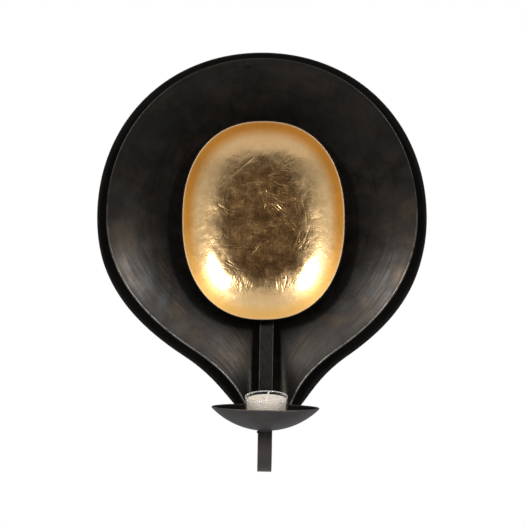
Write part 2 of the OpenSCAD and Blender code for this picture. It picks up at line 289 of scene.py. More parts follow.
def dished_sheet(name, rings, u, centre, back, rise, t, bump, edge_band=0.9):
    """A closed sheet, flat in the middle and curved forward to a rounded rim.

    back is the depth of its flat back face in front of the wall, and bump(x, z) moves it along Y.
    """
    n = rings.shape[1]
    depth = back + t / 2 + rise * (u ** 2)[:, None] + np.zeros((len(u), n))
    lift = np.array([[bump(x + centre[0], z + centre[1]) for x, z in row] for row in rings])
    mid = np.stack([rings[..., 0] + centre[0], -(depth + lift), rings[..., 1] + centre[1]], axis=2)

    outward = np.gradient(mid, axis=0)
    along = np.roll(mid, -1, axis=1) - np.roll(mid, 1, axis=1)
    normal = np.cross(outward, along)
    normal /= np.linalg.norm(normal, axis=2, keepdims=True)
    normal *= np.where(normal[..., 1:2] > 0, -1, 1)
    tangent = np.cross(along, normal)
    tangent /= np.linalg.norm(tangent, axis=2, keepdims=True)
    tangent *= np.sign((tangent * outward).sum(axis=2, keepdims=True))

    turns = [math.pi * j / 6 for j in range(1, 6)]
    arcs = [mid[-1] + t / 2 * (math.cos(a) * normal[-1] + math.sin(a) * tangent[-1]) for a in turns]
    rows = np.concatenate([mid + t / 2 * normal, np.array(arcs), (mid - t / 2 * normal)[::-1]])
    points = list(rows.reshape(-1, 3))
    points.append(mid[0].mean(axis=0) - (0, t / 2, 0))
    points.append(mid[0].mean(axis=0) + (0, t / 2, 0))
    piece = place(name, points, grid_faces(len(rows), n) + hub_faces(len(rows) * n, n))

    def fold(v):
        """Numbers of the middle surface as numbers of every point: front, rim, back and both hubs."""
        rim = np.repeat(v[-1:], len(turns), 0)
        return np.append(np.concatenate([v, rim, v[::-1]]).ravel(), [v[0].mean()] * 2)

    gap = np.hypot(*(rings[-1][None] - rings).transpose(2, 0, 1))
    weight(piece, "edge", fold(np.clip(1 - gap / edge_band, 0, 1)))
    weight(piece, "inset", fold(gap / 100))
    angle = 2 * math.pi * np.arange(n) / n + np.zeros((len(u), n))
    weight(piece, "round_x", fold(np.sin(angle)))
    weight(piece, "round_z", fold(np.cos(angle)))
    return piece


def hand_wave(depth, size, seed):
    """Slow dents of hand-worked sheet, as a function of x and z."""
    def bump(x, z):
        return (depth * rough_noise(x, z, size, seed)
                + 0.35 * depth * rough_noise(x, z, size / 2.6, seed + 1))
    return bump


# ---- pieces: plate

SHELL_WAIST = (75, -127)
FRONT_WAIST = (67.5, -120)
SHELL_OUTLINE = pear_outline(SHELL_W, SHELL_TOP, SHELL_H - SHELL_TOP, SHELL_WAIST,
                             pull_in=53, pull_out=54)
FRONT_OUTLINE = pear_outline(FRONT_W, FRONT_TOP, FRONT_H - FRONT_TOP, FRONT_WAIST,
                             pull_in=45, pull_out=74)
SHELL_RISE = 9.0
FRONT_RISE = 16.0


def plate_depth(outline, back, rise, x, z):
    """Depth of a plate's back face at a point given from the lobe centre."""
    angles = np.arctan2(outline[:, 0], outline[:, 1])
    order = np.argsort(angles)
    reach = np.interp(math.atan2(x, z), angles[order], np.hypot(*outline.T)[order])
    return back + rise * max(0, (math.hypot(x, z) / reach - PLATE_FLAT) / (1 - PLATE_FLAT)) ** 2


def make_back_shell():
    rings, u = rings_of(PLATE_FLAT * SHELL_OUTLINE, SHELL_OUTLINE, inner=20, outer=34, close=8, tuck=0.8)
    return dished_sheet("back_shell_sheet", rings, u, (0, LOBE_Z), WALL_GAP, SHELL_RISE, SHEET,
                        hand_wave(depth=0.16, size=34, seed=3))


def make_front_dish():
    rings, u = rings_of(PLATE_FLAT * FRONT_OUTLINE, FRONT_OUTLINE, inner=24, outer=40, close=10, tuck=0.8)
    return dished_sheet("front_dish_sheet", rings, u, (0, LOBE_Z), WALL_GAP + SHEET, FRONT_RISE, SHEET,
                        hand_wave(depth=0.22, size=38, seed=8))


# ---- pieces: reflector

OVAL_C = (oval_low[0] + OVAL_W / 2, ARM_Z)


# The dish's dents, which the leaf follows
OVAL_DENTS = hand_wave(depth=0.1, size=30, seed=5)


def oval_rings(steps, **counts):
    flat = oval_outline(OVAL_W - 2 * OVAL_WALL, OVAL_H - 2 * OVAL_WALL, steps)
    return rings_of(flat, oval_outline(OVAL_W, OVAL_H, steps), **counts)


def make_reflector():
    rings, u = oval_rings(300, inner=14, outer=30, close=6, tuck=0.62)
    return dished_sheet("reflector_sheet", rings, u, OVAL_C, OVAL_BACK, OVAL_RISE, OVAL_T, OVAL_DENTS)


# Fans of creases in the leaf: where each starts, as shares of the dish's half width and half height,
# then its heading and spread in degrees, its length in millimetres and its number of strands
FANS = [((0.0, 0.27), -52, 16, 34, 16), ((0.1, 0.44), -10, 34, 26, 15), ((0.16, 0.5), 18, 22, 22, 10),
        ((0.12, 0.16), -35, 18, 30, 12), ((0.2, 0.3), -8, 20, 20, 10), ((-0.5, 0.16), -12, 20, 20, 9),
        ((-0.38, 0.04), 8, 22, 16, 9), ((-0.48, -0.2), 14, 26, 20, 8), ((-0.1, -0.3), 32, 24, 13, 8),
        ((-0.32, -0.66), 102, 24, 11, 11), ((-0.2, -0.72), 96, 26, 12, 14),
        ((-0.07, -0.76), 92, 26, 13, 26), ((0.07, -0.76), 88, 26, 13, 26),
        ((0.2, -0.71), 84, 26, 11, 12), ((0.31, -0.64), 76, 24, 8, 6),
        ((0.44, -0.28), 70, 34, 20, 12), ((0.42, 0.2), -70, 24, 24, 10), ((-0.2, 0.36), 10, 26, 22, 8),
        ((-0.46, -0.44), -40, 28, 18, 10), ((0.29, -0.03), -42, 10, 14, 4)]
# One long straight crease: its two ends as such shares
LONG_CREASE = ((-0.57, 0.33), (-0.12, 0.64))
LONG_HEIGHT = 0.26
LONG_WIDTH = 0.4
STRAND_RUN = 3
STRAY_CREASES = 170
STRAY_REACH = 0.62
# The leaf's crumpling: height and size of the bumps in millimetres, and the noise's seed
CRUMPLES = [(0.45, 15.0, 2), (0.09, 5.5, 4), (0.014, 1.5, 6)]
HALF_LEAF = 0.15
# How far the crumpled middle stands forward, so that its dents clear the dish
LEAF_STAND = 0.35
# The leaf's back has one ring for this many of its front
BACK_STEP = 6


def strand(rng, x, z, heading, length, strength=1.0):
    """One thin crease as short straight runs that wander and fade."""
    rows = []
    runs = max(2, int(length / STRAND_RUN))
    height = rng.uniform(0.07, 0.21) * strength
    for k in range(runs):
        step = length / runs
        x2 = x + step * math.cos(heading)
        z2 = z + step * math.sin(heading)
        rows.append((x, z, x2, z2, height * (1 - 0.6 * k / runs), rng.uniform(0.36, 0.56)))
        x, z = x2, z2
        heading += rng.gauss(0, 0.11)
    return rows


def creases():
    """Every crease of the leaf as rows of start, end, height and width, in millimetres."""
    rng = random.Random(21)
    half = np.array([OVAL_W / 2, OVAL_H / 2])
    rows = [(*(half * LONG_CREASE[0]), *(half * LONG_CREASE[1]), LONG_HEIGHT, LONG_WIDTH)]
    for start, heading, spread, length, count in FANS:
        for _ in range(count):
            x = half[0] * start[0] + rng.gauss(0, 2.4)
            z = half[1] * start[1] + rng.gauss(0, 2.4)
            turn = math.radians(heading + rng.gauss(0, 0.6 * spread))
            rows += strand(rng, x, z, turn, length * rng.uniform(0.35, 1))
    for _ in range(STRAY_CREASES):
        r = STRAY_REACH * math.sqrt(rng.random())
        around = rng.uniform(0, 2 * math.pi)
        x, z = half * (r * math.cos(around), r * math.sin(around))
        rows += strand(rng, x, z, rng.uniform(0, 2 * math.pi), rng.uniform(3, 9), 0.45)
    return np.array(rows)


def leaf_lift(points):
    """Height of the leaf's creases above the dish, for points as (x, z) rows."""
    total = np.zeros(len(points))
    for x0, z0, x1, z1, height, width in creases():
        near = np.abs(points - ((x0 + x1) / 2, (z0 + z1) / 2)).max(axis=1)
        close = near < 0.5 * math.hypot(x1 - x0, z1 - z0) + 4 * width
        if not close.any():
            continue
        run = np.array([x1 - x0, z1 - z0])
        rel = points[close] - (x0, z0)
        t = np.clip(rel @ run / (run @ run), 0, 1)
        off = np.hypot(*(rel - t[:, None] * run).T)
        total[close] = np.maximum(total[close], height * np.exp(-(off / width) ** 2))
    return total


def crumpling(x, z):
    """Height of the leaf's crumpling at one point."""
    return sum(height * rough_noise(x, z, size, seed) for height, size, seed in CRUMPLES)


def make_gold_leaf():
    """The leaf: the dish's front with its dents, creases and crumpling, which fade up the wall."""
    rings, u = oval_rings(640, inner=96, outer=84, close=4, tuck=1.0)
    n = rings.shape[1]
    dents = np.array([[OVAL_DENTS(x + OVAL_C[0], z + OVAL_C[1]) for x, z in row] for row in rings])
    crumple = np.array([[crumpling(x, z) for x, z in row] for row in rings])
    lift = leaf_lift(rings.reshape(-1, 2)).reshape(rings.shape[:2])
    fade = np.clip((1 - u) / 0.75, 0, 1)[:, None] ** 1.3
    face = OVAL_BACK + OVAL_T + OVAL_RISE * (u ** 2)[:, None] + dents
    raised = face + HALF_LEAF + (lift + crumple + LEAF_STAND) * fade
    front = np.stack([rings[..., 0], -raised, rings[..., 1]], axis=2)
    back = np.stack([rings[..., 0], -(face - HALF_LEAF), rings[..., 1]], axis=2)[::BACK_STEP]
    rows = np.concatenate([front, back[::-1]]) + (OVAL_C[0], 0, OVAL_C[1])
    points = list(rows.reshape(-1, 3)) + [rows[0].mean(axis=0), rows[-1].mean(axis=0)]
    faces = grid_faces(len(rows), n) + hub_faces(len(rows) * n, n)
    piece = place("gold_leaf_lining", points, faces)

    def fold(share):
        """A number for each ring as one for each point: front, back and both hubs."""
        front_share = share[:, None] + np.zeros((len(u), n))
        return np.append(np.concatenate([front_share, front_share[::BACK_STEP][::-1]]).ravel(), [0, 0])

    weight(piece, "edge", fold(np.clip((u - 0.965) / 0.035, 0, 1)))
    weight(piece, "level", fold(np.clip(1 - u / 0.3, 0, 1)))
    weight(piece, "wall", fold(np.clip((u - 0.6) / 0.34, 0, 1)))
    return piece


# ---- pieces: arm and bowl

def bar_path():
    """Middle line of the bar in the arm's side view, as (y, z), from its top end to the bowl."""
    turn = math.radians(BEND_TURN)
    slant = (REAR_RUN - BAR_MID - 2 * BEND_R * (1 - math.cos(turn))) / math.sin(turn)
    bend_foot = BEND_TOP - 2 * BEND_R * math.sin(turn) - slant * math.cos(turn)
    hook_r = (BOWL_REACH - REAR_RUN) / 2
    hook_z = -HOOK_FOOT + BAR_T / 2 + hook_r
    corners = [[(-BAR_MID, BAR_TOP)],
               arc(-BAR_MID - BEND_R, BEND_TOP, BEND_R, 0, -BEND_TURN, 6),
               arc(-REAR_RUN + BEND_R, bend_foot, BEND_R, 180 - BEND_TURN, 180, 6),
               arc(-REAR_RUN - hook_r, hook_z, hook_r, 0, -180, 48),
               [(-BOWL_REACH, -BOWL_FOOT + 0.02)]]
    path = [p for part in corners for p in part]
    fine = [path[0]]
    for p in path[1:]:
        q = fine[-1]
        steps = max(1, int(math.dist(p, q) / BAR_STEP))
        fine += [(q[0] + (p[0] - q[0]) * j / steps, q[1] + (p[1] - q[1]) * j / steps)
                 for j in range(1, steps + 1)]
    return np.array(fine)


def bar_section():
    """The bar's section with rounded corners, and which of its points are corners, worn bright."""
    r = 0.55
    section = []
    worn = []
    for cx, cz, start in ((1, 1, 0), (-1, 1, 90), (-1, -1, 180), (1, -1, 270)):
        for x, z in arc(cx * (BAR_W / 2 - r), cz * (BAR_T / 2 - r), r, start, start + 90, 4):
            section.append((x, z))
            worn.append(1.0)
        if start in (0, 180):
            for f in (0.9, 0.6, 0.2, -0.2, -0.6, -0.9):
                section.append((cx * f * (BAR_W / 2 - r), cz * BAR_T / 2))
                worn.append(0.0)
    return section, worn


def make_arm():
    """The flat bar: its section swept along its path, with slight dents."""
    path = bar_path()
    ahead = np.gradient(path, axis=0)
    ahead /= np.linalg.norm(ahead, axis=1, keepdims=True)
    side = np.stack([-ahead[:, 1], ahead[:, 0]], axis=1)
    section, worn = bar_section()
    points = []
    for k, (p, s) in enumerate(zip(path, side)):
        run = k * BAR_STEP
        for x, h in section:
            h2 = h * (1 + 0.07 * noise.noise(Vector((x / 5, run / 16, h / 4))))
            x2 = x * (1 + 0.006 * noise.noise(Vector((run / 22, x, 3.1))))
            points.append((x2, p[0] + s[0] * h2, p[1] + s[1] * h2))
    n = len(section)
    faces = grid_faces(len(path), n)
    faces.append(tuple(range(n)))
    faces.append(tuple(range(len(points) - 1, len(points) - n - 1, -1)))
    piece = place("support_arm_bar", points, faces, ARM_FRAME)
    weight(piece, "edge", worn * len(path))
    return piece


def make_bowl():
    """The bowl: a cap of a sphere with a rounded rim."""
    mid = BOWL_R - BOWL_T / 2
    rz = -(BOWL_R - BOWL_H + BOWL_T / 2)
    rx = math.sqrt(mid ** 2 - rz ** 2)
    rim = -math.degrees(math.acos(rx / mid))
    profile = arc(0, 0, BOWL_R, -90, rim, 40)
    profile += arc(rx, rz, BOWL_T / 2, rim + 20, rim + 160, 7)
    profile += arc(0, 0, BOWL_R - BOWL_T, rim, -90, 40)
    tilted = ARM_FRAME @ Matrix.Translation(BOWL_C) @ Matrix.Rotation(-BOWL_TILT, 4, "X")
    piece = lathe("candle_bowl_shell", profile, tilted, 160)
    co = np.empty(len(piece.data.vertices) * 3)
    piece.data.vertices.foreach_get("co", co)
    z = co.reshape(-1, 3)[:, 2] / MM
    weight(piece, "edge", np.clip((z - (rz - 0.9)) / 1.2, 0, 1))
    radius = np.linalg.norm(co.reshape(-1, 3) / MM, axis=1)
    weight(piece, "inside", np.clip((BOWL_R - 0.9 - radius) / 0.5, 0, 1))
    return piece


def end_caps(base, rows, n):
    """The two end faces of rows of n points that start at base."""
    last = base + (rows - 1) * n
    return [tuple(range(base, base + n)), tuple(range(last + n - 1, last - 1, -1))]


def make_weld():
    """Two beads of weld along the bar's end and a drop at its left edge, as lumpy turned ropes."""
    points = []
    faces = []
    rings = 22
    sides = 12
    for side in (-1, 1):
        base = len(points)
        for k in range(rings):
            x = -BAR_W / 2 + 0.5 + (BAR_W - 1) * k / (rings - 1)
            swell = 1.35 + 0.25 * noise.noise(Vector((x / 1.6, side * 3.0, 0)))
            taper = min(1, 0.35 + 3 * min(k, rings - 1 - k) / rings)
            for a in circle(sides):
                points.append((x, -BOWL_REACH + side * BAR_T / 2 + swell * taper * math.cos(a),
                               -BOWL_FOOT - 0.35 + 0.75 * swell * taper * math.sin(a)))
        faces += grid_faces(rings, sides, base) + end_caps(base, rings, sides)
    base = len(points)
    rings = 9
    sides = 14
    for k in range(1, rings):
        tilt = math.pi * k / rings
        for a in circle(sides):
            r = 1.15 * (1 + 0.12 * noise.noise(Vector((a, tilt, 5))))
            points.append((-BAR_W / 2 + 0.1 + r * math.sin(tilt) * math.cos(a),
                           -BOWL_REACH + r * math.sin(tilt) * math.sin(a),
                           -BOWL_FOOT - 1.3 + r * math.cos(tilt)))
    faces += grid_faces(rings - 1, sides, base) + end_caps(base, rings - 1, sides)
    return place("bowl_weld_beads", points, faces, ARM_FRAME)


# ---- pieces: tealight

def cup_inner(z):
    """Radius of the cup's inside at a height, 1 mm narrower at its foot than at its top."""
    return CUP_D / 2 - CUP_T - (CUP_H - z) / CUP_H


def make_cup():
    """The clear cup: a raised foot, a flared wall and a rounded rim."""
    foot = CUP_FOOT_R
    top = CUP_D / 2
    profile = [(0, 0.5), (foot - 3, 0.5), (foot - 2.2, 0.05), (foot - 0.5, 0)]
    profile += arc(foot - 0.1, 0.7, 0.7, -80, -5, 5)
    profile += [(top - 0.75, 6), (top - 0.45, 12), (top - 0.12, CUP_H - 1.6)]
    profile += arc(top - CUP_T / 2, CUP_H - CUP_T / 2, CUP_T / 2, 0, 180, 8)
    profile += [(cup_inner(z), z) for z in (CUP_H - 1.2, 15, 8, CUP_T + 0.8)]
    profile += arc(cup_inner(CUP_T) - 0.7, CUP_T + 0.7, 0.7, 0, -90, 4)
    profile += [(0, CUP_T)]
    piece = lathe("tealight_cup_shell", profile, CUP_FRAME, 128)
    heights = [v.co.z / MM for v in piece.data.vertices]
    weight(piece, "edge", np.clip((np.array(heights) - CUP_H + 1.0) / 0.5, 0, 1))
    return piece


def make_wax():
    """The wax: hollow round the wick's foot, with a slightly sunken top."""
    top = cup_inner(WAX_TOP) - 0.35
    foot = cup_inner(WAX_FOOT) - 0.45
    profile = [(0, WAX_FOOT + 0.6), (6.5, WAX_FOOT + 0.6), (6.6, WAX_FOOT), (foot - 0.8, WAX_FOOT)]
    profile += arc(foot - 0.6, WAX_FOOT + 0.6, 0.6, -80, 0, 4)
    profile += [(foot + (top - foot) * f, WAX_FOOT + (WAX_TOP - WAX_FOOT) * f) for f in (0.2, 0.5, 0.8)]
    profile += [(top, WAX_TOP - 0.35), (top - 0.15, WAX_TOP - 0.02), (top - 0.5, WAX_TOP - 0.05)]
    profile += [(top * f, WAX_TOP - 0.25 - 0.35 * (1 - f)) for f in (0.9, 0.75, 0.55, 0.35, 0.2, 0.12)]
    profile += [(1.3, WAX_TOP - 0.35), (0.8, WAX_TOP - 0.1), (0, WAX_TOP - 0.1)]
    return lathe("candle_wax_body", profile, CUP_FRAME, 128)


def wick_line():
    """The wick's line, straight up through the wax and then leaning further and further."""
    steps = 30
    line = [Vector((0, 0, WAX_FOOT + 0.2 + i * (WAX_TOP - WAX_FOOT) / steps)) for i in range(steps)]
    foot = Vector((0, 0, WAX_TOP - 0.2))
    for i in range(1, steps + 1):
        f = i / steps
        bend = WICK_LEAN * (0.55 + 0.45 * f)
        line.append(foot + Vector((math.sin(bend), 0, math.cos(bend))) * WICK_LENGTH * f)
    return line


def make_wick():
    """A braided wick: the lobes of three strands twist round its line."""
    line = wick_line()
    points = []
    n = 18
    tip = (0.93, 0.78, 0.45)
    for k, p in enumerate(line):
        taper = 1.0 if k < len(line) - len(tip) else tip[k - len(line) + len(tip)]
        for a in circle(n):
            fuzz = 1 + 0.05 * noise.noise(Vector((a, k / 2.0, 9)))
            r = WICK_R * taper * (1 + 0.13 * math.cos(3 * a + k * 0.62)) * fuzz
            points.append((p.x + r * math.cos(a), p.y + r * math.sin(a), p.z))
    faces = grid_faces(len(line), n, flip=True)
    faces.append(tuple(range(n - 1, -1, -1)))
    faces.append(tuple(range(len(points) - n, len(points))))
    return place("wick_braid", points, faces, CUP_FRAME)


def make_sustainer():
    """The wick's metal foot: a disc with a collar round the wick."""
    low = WAX_FOOT
    profile = [(0.85, low), (6.2, low), (6.4, low + 0.12), (6.4, low + 0.4), (6.2, low + 0.5),
               (2.3, low + 0.5), (1.7, low + 0.8), (1.55, low + 2.9), (0.85, low + 2.9)]
    return lathe("wick_foot", profile, CUP_FRAME, 48)


# ---- pieces: fasteners and back

def out_of_wall(x, z):
    """Frame of a turned piece whose axis runs from the wall to the front."""
    return Matrix.Translation((x, 0, z)) @ Matrix.Rotation(math.radians(90), 4, "X")


def turned_group(name, profile, places, steps=40):
    """Several like turned pieces in one object."""
    return join(name, [lathe(f"{name}_{i}", profile, m, steps) for i, m in enumerate(places)])


def join(name, parts):
    """One object made of several, which are deleted."""
    points, faces = [], []
    for part in parts:
        base = len(points)
        points += [tuple(part.matrix_world @ v.co / MM) for v in part.data.vertices]
        faces += [tuple(base + i for i in p.vertices) for p in part.data.polygons]
        mesh = part.data
        bpy.data.objects.remove(part)
        bpy.data.meshes.remove(mesh)
    return place(name, points, faces)


BAR_BACK = WALL_GAP + 2 * SHEET
HANG_X = 22.0
HANG_Z = 3.0
ARM_RIVET_Z = 28.0
STUD_R = 2.48
THREAD_ROOT = 2.2
THREAD_PITCH = 0.7
THREAD_FROM = 1.1
THREAD_TO = 7.4
NUT_T = 4
NUT_HALF = 4.0
NUT_BORE = 2.55
PAD_X = 52
PAD_DROP = 45
TOP_POST = (-13.1, 140.9)
SIDE_POST = (96.0, -66.0)


def domed(near, far, head, shaft, height):
    """A rivet's profile, with a dome at both ends."""
    dome = [(head * math.cos(math.radians(a)), height * math.sin(math.radians(a)))
            for a in range(0, 90, 15)]
    low = [(r, near - h) for r, h in dome[::-1]]
    high = [(r, far + h) for r, h in dome]
    shank = [(shaft, near + 0.01), (shaft, far - 0.01)]
    return [(0, near - height)] + low + shank + high + [(0, far + height)]


def make_hanger_rivets():
    """Two rivets through the keyhole plate and both sheets."""
    places = [out_of_wall(side * HANG_X, HANG_Z) for side in (-1, 1)]
    return turned_group("hanger_rivet_pair", domed(WALL_GAP - 1.5, BAR_BACK, 4.0, 2.0, 1.0), places)


def make_arm_rivets():
    """Two rivets, domed behind and countersunk in the bar's front."""
    dome = [(4 * math.cos(math.radians(a)), WALL_GAP - math.sin(math.radians(a)))
            for a in range(75, -1, -15)]
    shank = [(2, WALL_GAP + 0.01), (2, OVAL_BACK - 2)]
    sunk = [(3.9, OVAL_BACK - 0.1), (3.8, OVAL_BACK), (0, OVAL_BACK)]
    profile = [(0, WALL_GAP - 1)] + dome + shank + sunk
    places = [ARM_FRAME @ out_of_wall(0, side * ARM_RIVET_Z) for side in (-1, 1)]
    return turned_group("arm_rivet_pair", profile, places)


def make_stud():
    """A stud with a rolled thread on the length that carries the nut."""
    profile = [(0, 0.8), (1.9, 0.8), (2.15, THREAD_FROM)]
    depth = THREAD_FROM
    while depth < THREAD_TO:
        profile += [(THREAD_ROOT, depth), (STUD_R, depth + THREAD_PITCH / 2)]
        depth += THREAD_PITCH
    profile += [(STUD_R, depth), (STUD_R, OVAL_BACK - 0.3), (STUD_R, OVAL_BACK), (0, OVAL_BACK)]
    return lathe("reflector_stud_thread", profile, ARM_FRAME @ out_of_wall(0, 0), 40)


def make_washer():
    """The washer between the nut and the back shell."""
    near = WALL_GAP - 1
    far = WALL_GAP
    profile = [(2.6, near), (4.8, near), (5, near + 0.2), (5, far - 0.2), (4.85, far), (2.6, far)]
    return lathe("stud_washer_ring", profile, ARM_FRAME @ out_of_wall(0, 0), 56)


def make_nut():
    """A hexagon nut with both faces chamfered."""
    far = WALL_GAP - 1
    near = far - NUT_T
    steps = 72
    # Depth and greatest reach of each row, from the bore's edge to the bore's edge
    rows = [(near, NUT_BORE), (near, NUT_HALF * 0.985), (near + 0.45, NUT_HALF / math.cos(math.pi / 6)),
            (far - 0.45, NUT_HALF / math.cos(math.pi / 6)), (far, NUT_HALF * 0.985), (far, NUT_BORE)]
    points = []
    for depth, reach in rows:
        for a in circle(steps):
            hexagon = NUT_HALF / math.cos((a + math.pi / 6) % (math.pi / 3) - math.pi / 6)
            r = min(hexagon, reach)
            points.append((r * math.cos(a), r * math.sin(a), depth))
    faces = grid_faces(len(rows), steps, flip=True) + bore_faces(len(rows), steps)
    return place("stud_nut_hex", points, faces, ARM_FRAME @ out_of_wall(0, 0), smooth=False)


def make_pads():
    """Two round rubber pads that rest on the wall."""
    profile = [(0, 0), (7.0, 0)] + arc(6.9, 0.7, 0.7, -80, 0, 4)
    profile += [(7.75, 5.6), (7.95, 6.2), (7.95, WALL_GAP), (0, WALL_GAP)]
    places = [out_of_wall(side * PAD_X, LOBE_Z - PAD_DROP) for side in (-1, 1)]
    return turned_group("wall_pad_pair", profile, places, 56)


def make_posts():
    """Three posts between the sheets; the upper one's dressed end shows on the dish's face."""
    near = -box_mm("rim_posts")[1][1]
    x, z = TOP_POST
    face = plate_depth(FRONT_OUTLINE, WALL_GAP + SHEET, FRONT_RISE, x, z) + SHEET
    dressed = [(0, near), (2.9, near), (2.9, face - 0.5), (4.4, face - 0.45), (4.5, face - 0.1),
               (4.1, face + 0.12), (2.6, face + 0.1), (1.35, face + 0.12), (1.1, face + 0.5),
               (0.6, face + 0.72), (0, face + 0.78)]
    parts = [lathe("post_top", dressed, out_of_wall(x, LOBE_Z + z), 48)]
    for side in (-1, 1):
        x = side * SIDE_POST[0]
        z = SIDE_POST[1]
        a = plate_depth(SHELL_OUTLINE, WALL_GAP, SHELL_RISE, x, z) + SHEET / 2
        b = plate_depth(FRONT_OUTLINE, WALL_GAP + SHEET, FRONT_RISE, x, z) + 0.1
        parts.append(lathe("post_side", [(0, a), (2.95, a), (2.95, b), (0, b)],
                           out_of_wall(x, LOBE_Z + z), 40))
    return join("rim_post_group", parts)


# ---- materials

class Nodes:
    """A node tree, built one node at a time; each call returns its output socket."""

    def __init__(self, owner):
        owner.use_nodes = True
        self.tree = owner.node_tree
        self.tree.nodes.clear()

    def plug(self, socket, value):
        if isinstance(value, bpy.types.NodeSocket):
            self.tree.links.new(value, socket)
        else:
            socket.default_value = value

    def add(self, kind, inputs=None, out=0, **settings):
        node = self.tree.nodes.new("ShaderNode" + kind)
        for key, value in settings.items():
            setattr(node, key, value)
        for key, value in (inputs or {}).items():
            self.plug(node.inputs[key], value)
        return node.outputs[out] if node.outputs else None

    def span(self, fac, low, high, from_low=0.0, from_high=1.0):
        return self.add("MapRange", {"Value": fac, "From Min": from_low, "From Max": from_high,
                                     "To Min": low, "To Max": high}, out="Result")

    def mix(self, fac, a, b):
        """Colour a where fac is 0 and b where it is 1."""
        a, b = (v if isinstance(v, bpy.types.NodeSocket) else (*v, 1) for v in (a, b))
        return self.add("Mix", {0: fac, 6: a, 7: b}, out=2, data_type="RGBA")


class Graph(Nodes):
    """A material's node tree, on the object's own coordinates in metres."""

    def __init__(self, name):
        self.material = bpy.data.materials.new(name)
        super().__init__(self.material)
        self.where = self.add("TexCoord", out="Object")

    def stretched(self, scale, turn=(0, 0, 0)):
        return self.add("Mapping", {"Vector": self.where, "Scale": scale, "Rotation": turn})

    def noise(self, scale, detail=4.0, rough=0.55, where=None, distort=0.0):
        return self.add("TexNoise", {"Vector": where or self.where, "Scale": scale, "Detail": detail,
                                     "Roughness": rough, "Distortion": distort}, out="Fac")

    def cells(self, scale, feature="DISTANCE_TO_EDGE", where=None, out=0, jitter=1.0):
        return self.add("TexVoronoi", {"Vector": where or self.where, "Scale": scale,
                                       "Randomness": jitter}, out=out, feature=feature)

    def ramp(self, fac, stops):
        node = self.tree.nodes.new("ShaderNodeValToRGB")
        self.tree.links.new(fac, node.inputs["Fac"])
        node.color_ramp.elements[0].position = stops[0][0]
        node.color_ramp.elements[0].color = (*stops[0][1], 1)
        node.color_ramp.elements[1].position = stops[-1][0]
        node.color_ramp.elements[1].color = (*stops[-1][1], 1)
        for at, colour in stops[1:-1]:
            node.color_ramp.elements.new(at).color = (*colour, 1)
        return node.outputs["Color"]

    def two_tone(self, fac, low, high):
        return self.ramp(fac, [(0.3, low), (0.7, high)])

    def vary(self, fac, low, high):
        """A number that follows noise, stretched from the range that noise mostly keeps to."""
        return self.span(fac, low, high, 0.3, 0.7)

    def times(self, a, b):
        return self.add("Math", {0: a, 1: b}, operation="MULTIPLY")

    def plus(self, a, b):
        return self.add("Math", {0: a, 1: b}, operation="ADD")

    def weight(self, name):
        return self.add("Attribute", out="Fac", attribute_name=name)

    def bump(self, height, strength, distance, after=None):
        inputs = {"Height": height, "Strength": strength, "Distance": distance}
        if after is not None:
            inputs["Normal"] = after
        return self.add("Bump", inputs)

    def finish(self, **inputs):
        shader = self.tree.nodes.new("ShaderNodeBsdfPrincipled")
        for key, value in inputs.items():
            self.plug(shader.inputs[key.replace("_", " ")], value)
        output = self.tree.nodes.new("ShaderNodeOutputMaterial")
        self.tree.links.new(shader.outputs[0], output.inputs[0])
        return self.material


def worn_edge(g, low=0.25, high=0.75):
    """How bare the edge is: the mesh's own edge number broken up by noise."""
    patch = g.vary(g.noise(160, 5), 0.35, 1.25)
    return g.span(g.times(g.weight("edge"), patch), 0.0, 1.0, low, high)


def lower_down(g, top, foot):
    """0 above the height top and 1 below the height foot, in metres."""
    z = g.add("SeparateXYZ", {0: g.where}, out=2)
    return g.span(z, 0.0, 1.0, top, foot)


def along_rim(g, length, width):
    """Noise in streaks that run round the sheet, about length by width metres each."""
    turns = 0.85 / (2 * math.pi * length)
    x = g.times(g.weight("round_x"), turns)
    z = g.times(g.weight("round_z"), turns)
    inset = g.times(g.weight("inset"), 0.1 / width)
    return g.noise(1, 5, 0.6, g.add("CombineXYZ", {0: x, 1: z, 2: inset}))


# The middle of the neck's foot, in metres, round which the plate's colour is painted darker as painted
# shade
NECK_SHADE_CENTRE = (0.006, -0.02, -0.215)


